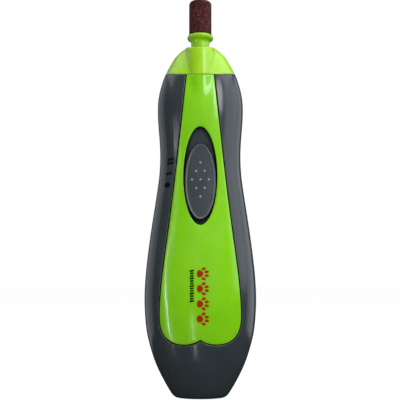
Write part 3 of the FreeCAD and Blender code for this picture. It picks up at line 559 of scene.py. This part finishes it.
def ink(name, colour, lighter):
    """Pad-printed ink: slightly uneven cover and a rubbed sheen."""
    paint = Paint(name)
    paint.shader.inputs["Specular IOR Level"].default_value = 0.06
    cover = paint.remap(paint.noise(0.6, 4.0, 0.65), 0.35, 0.72)
    rough = paint.remap(paint.noise(0.4, 3.0), 0.3, 0.7, 0.34, 0.52)
    return paint.finish(paint.mix(cover, colour, lighter), rough, paint.bump(paint.noise(0.12, 2.0), 0.002))


WELD_GAP = 0.0005 * MM
SHARP_ANGLE = 50.0           # degrees, flatter edges stay as they are
SOFT_SEGMENTS = 2


def soften(width, *names):
    """Rounds the moulded edges that catch the light. The width is in mm."""
    for name in names:
        piece = nodes[name]
        weld = piece.modifiers.new("weld", "WELD")
        weld.merge_threshold = WELD_GAP
        bevel = piece.modifiers.new("soft_edges", "BEVEL")
        bevel.width = width * MM
        bevel.segments = SOFT_SEGMENTS
        bevel.limit_method = "ANGLE"
        bevel.angle_limit = math.radians(SHARP_ANGLE)
        bevel.use_clamp_overlap = True
        bevel.harden_normals = True


def dress(material, *names):
    """Gives the named CAD nodes one material."""
    for name in names:
        data = nodes[name].data
        data.materials.clear()
        data.materials.append(material)


RESISTOR_RINGS = ((0.36, srgb(120, 40, 20)), (0.46, srgb(30, 28, 26)), (0.56, srgb(180, 120, 30)))
RESISTOR_RING_WIDTH = 0.05   # share of the body's height


def resistor_body():
    """A pale body with coloured rings, placed by their share of its height."""
    low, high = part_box("speed_resistor")
    foot, height = low[2] / MM, (high[2] - low[2]) / MM
    body = srgb(206, 184, 142)
    stops = [(foot - 1, body)]
    for share, colour in RESISTOR_RINGS:
        stops.append((foot + share * height, colour))
        stops.append((foot + (share + RESISTOR_RING_WIDTH) * height, body))
    return banded("resistor_body", stops, 0.4)


def dress_outside():
    grey = plastic("shell_grey", srgb(44, 51, 54), srgb(48, 55, 58), 0.15,
                   ripple=0.0015, round_edge=0.55, crevice=1.6)
    dress(grey, "front_shell", "rear_shell", "battery_door")
    green = plastic("panel_green", srgb(108, 178, 12), srgb(118, 184, 18), 0.14,
                    ripple=0.0012, round_edge=0.42, crevice=1.6)
    dress(green, "front_panel")
    cap = plastic("cap_green", srgb(136, 186, 20), srgb(144, 192, 26), 0.25,
                  ripple=0.0015, round_edge=0.30, glow=0.3)
    dress(cap, "nose_cap")
    collar = plastic("collar_green", srgb(122, 172, 16), srgb(130, 178, 20), 0.27,
                     ripple=0.0015, glow=0.3)
    dress(collar, "guard_collar")
    slider = leathered("slider_grey", srgb(44, 54, 58), srgb(49, 59, 63), 0.46, 0.20, 0.008, 0.28)
    dress(slider, "slide_button")
    nub = plastic("nub_grey", srgb(118, 124, 126), srgb(134, 140, 142), 0.48)
    dress(nub, "grip_nubs")


def dress_inside():
    white = plastic("frame_white", srgb(205, 204, 196), srgb(216, 215, 208), 0.42, grain_depth=0.004)
    dress(white, "chassis", "motor_clamp", "switch_carriage")
    dress(plastic("motor_cap_plastic", srgb(28, 28, 30), srgb(38, 38, 40), 0.45), "motor_end_cap")
    steel = metal("steel", srgb(176, 178, 182), srgb(130, 133, 138), 0.30, depth=0.0006)
    dress(steel, "motor_shaft", "mandrel_shank", "chuck_sleeve", "detent_spring", "drum_washer")
    screws = metal("screw_steel", srgb(150, 152, 156), srgb(100, 102, 108), 0.34, (1.0, 1.0, 1.0), 0.4, 0.006)
    dress(screws, "shell_screws", "clamp_screws", "drum_screw")
    nickel = metal("nickel_plate", srgb(198, 194, 182), srgb(158, 154, 144), 0.20, (0.06, 1.0, 1.0))
    dress(nickel, "motor_can", "motor_terminals", "contact_plate_positive", "contact_spring_negative",
          "bridge_contact")
    bronze = metal("bronze", srgb(170, 120, 66), srgb(120, 82, 42), 0.38, (1.0, 1.0, 1.0), 0.25, 0.01)
    dress(bronze, "nose_bush", "motor_bush", "switch_wiper")
    copper = metal("copper", srgb(200, 118, 80), srgb(150, 78, 50), 0.28)
    dress(copper, "commutator", "board_contacts", "motor_brushes")
    cell_metal = metal("cell_metal", srgb(190, 192, 196), srgb(150, 152, 158), 0.22)
    dress(cell_metal, "battery_right", "battery_left")
    wrap_stops = [(0.0, srgb(34, 52, 82)), (54.0, srgb(188, 152, 70)), (55.2, srgb(200, 202, 206))]
    dress(banded("cell_wrap", wrap_stops, 0.26, coat=0.4), "battery_wraps")
    dress(ferrite(), "motor_magnets")
    dress(laminations(), "armature_core")
    dress(windings(), "armature_windings")
    dress(board_fibre(), "switch_board")
    dress(resistor_body(), "speed_resistor")
    dress(rubber(), "drum_core")
    dress(foam(), "door_foam_pad")
    dress(lead("lead_red", srgb(150, 18, 14), srgb(178, 30, 22)), "lead_battery_positive")
    dress(lead("lead_black", srgb(16, 16, 17), srgb(32, 32, 34)), "lead_battery_negative")
    dress(lead("lead_blue", srgb(20, 50, 130), srgb(34, 72, 160)), "lead_motor")


# ---- pieces made here ---------------------------------------------------------------------

def add_piece(name, mesh, material, body, smooth):
    """A new piece that moves with the body."""
    piece = bpy.data.objects.new(name, mesh)
    bpy.context.scene.collection.objects.link(piece)
    mesh.materials.append(material)
    for face in mesh.polygons:
        face.use_smooth = smooth
    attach(piece, body)
    return piece


SLEEVE_SIDES = 220
SLEEVE_STEP = 0.14           # height between the rings of points, mm
SLEEVE_GRIT = 0.16           # deepest hollow between the grains, mm
SLEEVE_TOP_EDGE = 1.4        # rounding of the sleeve's top, mm
SLEEVE_TOP_STEPS = 9
SLEEVE_FOOT_EDGE = 0.5       # rounding of its foot, mm
SLEEVE_WALL = 0.62           # mm
SLEEVE_PITCH = 9.5           # the paper band's spiral, mm in height for each turn
SLEEVE_SEAM = 0.22           # half width of the seam, mm
SLEEVE_SEAM_DEPTH = 0.12     # mm
SLEEVE_HOLE = 3.2            # radius of the hole in its top, mm
SLEEVE_TOP_WALL = 0.90       # thickness of its rolled-over top, mm


def grit_sink(x, y, height):
    """How far the surface lies below the tallest grains, in mm."""
    fine = noise.noise(Vector((x * 3.4, y * 3.4, height * 3.4)))
    coarse = noise.noise(Vector((x * 1.1 + 7.0, y * 1.1, height * 1.1)))
    return max(SLEEVE_GRIT * (0.5 - 0.42 * fine - 0.14 * coarse), 0.0)


def seam_sink(angle, height):
    """The groove where the paper band's turns meet."""
    turn = (height - SLEEVE_PITCH * angle / math.tau) % SLEEVE_PITCH
    off_seam = min(turn, SLEEVE_PITCH - turn)
    return SLEEVE_SEAM_DEPTH * max(1.0 - off_seam / SLEEVE_SEAM, 0.0)


def sleeve_outline(outer, low, high):
    """The sleeve's outside from the foot to the rim of its top hole, as (radius, height) in mm."""
    foot, top = SLEEVE_FOOT_EDGE, SLEEVE_TOP_EDGE
    outline = [(outer - foot, low), (outer - 0.3 * foot, low + 0.3 * foot)]
    straight = high - top - low - foot
    steps = round(straight / SLEEVE_STEP)
    outline += [(outer, low + foot + straight * i / steps) for i in range(steps)]
    for i in range(SLEEVE_TOP_STEPS + 1):
        a = math.pi / 2 * i / SLEEVE_TOP_STEPS
        outline.append((outer - top * (1 - math.cos(a)), high - top * (1 - math.sin(a))))
    return outline


def sleeve_inside(outer, low, high):
    """From the rim of the top hole down the bore to the foot, as (radius, height) in mm."""
    inner = outer - SLEEVE_WALL
    return [
        (SLEEVE_HOLE + 0.05, high),
        (SLEEVE_HOLE, high - 0.06),
        (SLEEVE_HOLE, high - 0.60),
        (inner - 0.3, high - SLEEVE_TOP_WALL),
        (inner, high - SLEEVE_TOP_WALL - 0.3),
        (inner, low + 0.08),
        (inner + 0.06, low),
    ]


def make_sleeve():
    """The sanding sleeve: a grit-covered paper tube, rolled over at the top and open at the foot."""
    low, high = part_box("sanding_sleeve")
    z0, z1 = low[2] / MM, high[2] / MM
    outer = (high[0] - low[0]) / 2 / MM
    mesh = bmesh.new()

    def add_ring(radius, height, rough):
        ring = []
        for k in range(SLEEVE_SIDES):
            a = math.tau * k / SLEEVE_SIDES
            x, y, z = radius * math.cos(a), radius * math.sin(a), height
            if rough:
                sink = grit_sink(x, y, z) + seam_sink(a, z)
                x, y = x * (1.0 - sink / radius), y * (1.0 - sink / radius)
            ring.append(mesh.verts.new((x * MM, y * MM, z * MM)))
        return ring

    rings = [add_ring(r, z, True) for r, z in sleeve_outline(outer, z0, z1)]
    rings += [add_ring(r, z, False) for r, z in sleeve_inside(outer, z0, z1)]
    rings.append(rings[0])
    for below, above in zip(rings, rings[1:]):
        for k in range(SLEEVE_SIDES):
            n = (k + 1) % SLEEVE_SIDES
            mesh.faces.new((below[k], below[n], above[n], above[k]))
    bmesh.ops.recalc_face_normals(mesh, faces=mesh.faces)
    data = bpy.data.meshes.new("sanding_sleeve_grit")
    mesh.to_mesh(data)
    mesh.free()
    sleeve = add_piece("sanding_sleeve_grit", data, abrasive(), "sleeve", smooth=True)
    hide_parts("sanding_sleeve")


# ---- printed marks ------------------------------------------------------------------------

INK_LIFT = 0.05              # how far the ink stands off the surface, mm
INK_SINK = 0.05              # how far it reaches into it, mm
INK_RINGS = (1.0, 0.66, 0.33)    # the rings of points in each patch, as shares of its outline


def surface_of(name):
    """The node's faces, ready to be found by a ray."""
    piece = nodes[name]
    mesh = bmesh.new()
    mesh.from_mesh(piece.data)
    mesh.transform(piece.matrix_world)
    tree = BVHTree.FromBMesh(mesh)
    mesh.free()
    return tree


def on_surface(tree, x, z):
    """The point straight in from the front at x and z in mm, and the normal there, towards the front."""
    place, normal, _, _ = tree.ray_cast(Vector((x * MM, -0.1, z * MM)), Vector((0.0, 1.0, 0.0)))
    if normal.y > 0:
        normal = -normal
    return place, normal


def inked(tree, x, z, lift):
    """A point on the ink's face, which never stands further forward than the whole object."""
    place, normal = on_surface(tree, x, z)
    place = place + normal * lift * MM
    place.y = max(place.y, cad_low[1])
    return place


def print_shapes(name, shapes, node, material):
    """Thin ink patches, each a closed outline of (x, z) in mm, laid on the node's front."""
    tree = surface_of(node)
    mesh = bmesh.new()
    for outline in shapes:
        count = len(outline)
        centre = (sum(p[0] for p in outline) / count, sum(p[1] for p in outline) / count)
        layers = []
        for lift in (INK_LIFT, -INK_SINK):
            rings = []
            for share in INK_RINGS:
                ring = []
                for x, z in outline:
                    x = centre[0] + (x - centre[0]) * share
                    z = centre[1] + (z - centre[1]) * share
                    ring.append(mesh.verts.new(inked(tree, x, z, lift)))
                rings.append(ring)
            layers.append((rings, mesh.verts.new(inked(tree, *centre, lift))))
        for rings, middle in layers:
            for k in range(count):
                n = (k + 1) % count
                for wide, narrow in zip(rings, rings[1:]):
                    mesh.faces.new((wide[k], wide[n], narrow[n], narrow[k]))
                mesh.faces.new((rings[-1][k], rings[-1][n], middle))
        top, bottom = layers[0][0][0], layers[1][0][0]
        for k in range(count):
            n = (k + 1) % count
            mesh.faces.new((top[k], top[n], bottom[n], bottom[k]))
    bmesh.ops.recalc_face_normals(mesh, faces=mesh.faces)
    data = bpy.data.meshes.new(name)
    mesh.to_mesh(data)
    mesh.free()
    add_piece(name, data, material, "casing", smooth=False)


def turned(points, x, z, degrees):
    """The points, turned about the origin and moved to x and z."""
    c, s = math.cos(math.radians(degrees)), math.sin(math.radians(degrees))
    return [(x + u * c - v * s, z + u * s + v * c) for u, v in points]


def oval(x, z, half_w, half_h, turn, points=20, pinch=0.0):
    """A closed outline. pinch narrows its top, as on the heel of a paw."""
    outline = []
    for k in range(points):
        a = math.tau * k / points
        outline.append((half_w * math.cos(a) * (1.0 - pinch * math.sin(a)), half_h * math.sin(a)))
    return turned(outline, x, z, turn)


def bar(x, z, half_w, half_h, turn):
    """A closed outline with a point at each corner and in the middle of each side."""
    corners = ((-1, -1), (0, -1), (1, -1), (1, 0), (1, 1), (0, 1), (-1, 1), (-1, 0))
    return turned([(u * half_w, v * half_h) for u, v in corners], x, z, turn)


# the toes' places and turns, for a paw of size 1 that walks to the right
TOES = ((0.07, 0.37, 18.0), (0.30, 0.14, 6.0), (0.30, -0.14, -6.0), (0.07, -0.37, -18.0))


def paw(x, z, size):
    """A paw print: a heel and four toes."""
    shapes = [oval(x - 0.20 * size, z, 0.27 * size, 0.24 * size, -90.0, 24, 0.22)]
    for dx, dz, turn in TOES:
        shapes.append(oval(x + dx * size, z + dz * size, 0.165 * size, 0.105 * size, turn, 16))
    return shapes


PAW_X = 0.9
PAW_Z = (31.0, 36.6, 42.2, 47.8)
PAW_SIZE = 5.0
TICK_X = -3.2
TICK_Z = (37.6, 48.9)
TICKS = 13
TICK_HALF_W = (0.66, 0.84)   # a short and a long tick: every third is long
TICK_HALF_H = 0.30
TICK_LEAN = 12.0             # degrees
LEGEND_BARS = ((-11.75, 91.0, 2), (-12.3, 86.9, 1))    # high and low speed: x, z and how many bars
LEGEND_BAR = (1.2, 0.42)     # half width and half height, mm
LEGEND_STEP = (0.1, 1.5)     # from one bar to the next, mm
LEGEND_OFF = (-12.9, 82.4)
LEGEND_DOT = (1.15, 0.95)    # half width and half height, mm
LEGEND_LEAN = 8.0            # degrees, it follows the panel's slanting edge


def make_marks():
    """Generic marks: paw prints and ticks on the panel, and bars and a dot beside the switch."""
    red = ink("ink_red", srgb(132, 30, 6), srgb(150, 40, 10))
    black = ink("ink_black", srgb(2, 2, 2), srgb(9, 10, 9))
    shapes = []
    for z in PAW_Z:
        shapes += paw(PAW_X, z, PAW_SIZE)
    print_shapes("paw_marks", shapes, "front_panel", red)
    ticks = []
    for k in range(TICKS):
        z = TICK_Z[0] + (TICK_Z[1] - TICK_Z[0]) * k / (TICKS - 1)
        half_w = TICK_HALF_W[0] if k % 3 else TICK_HALF_W[1]
        ticks.append(bar(TICK_X, z, half_w, TICK_HALF_H, TICK_LEAN))
    print_shapes("tick_row", ticks, "front_panel", black)
    legend = []
    for x, z, count in LEGEND_BARS:
        for k in range(count):
            legend.append(bar(x + LEGEND_STEP[0] * k, z + LEGEND_STEP[1] * k, *LEGEND_BAR, LEGEND_LEAN))
    legend.append(oval(*LEGEND_OFF, *LEGEND_DOT, LEGEND_LEAN))
    print_shapes("switch_marks", legend, "front_shell", black)


make_camera()
make_lights()
make_world()
make_floor()
bpy.context.scene.view_settings.view_transform = "Standard"
dress_outside()
dress_inside()
soften(0.3, "front_panel")
soften(0.22, "nose_cap", "slide_button")
make_sleeve()
make_marks()
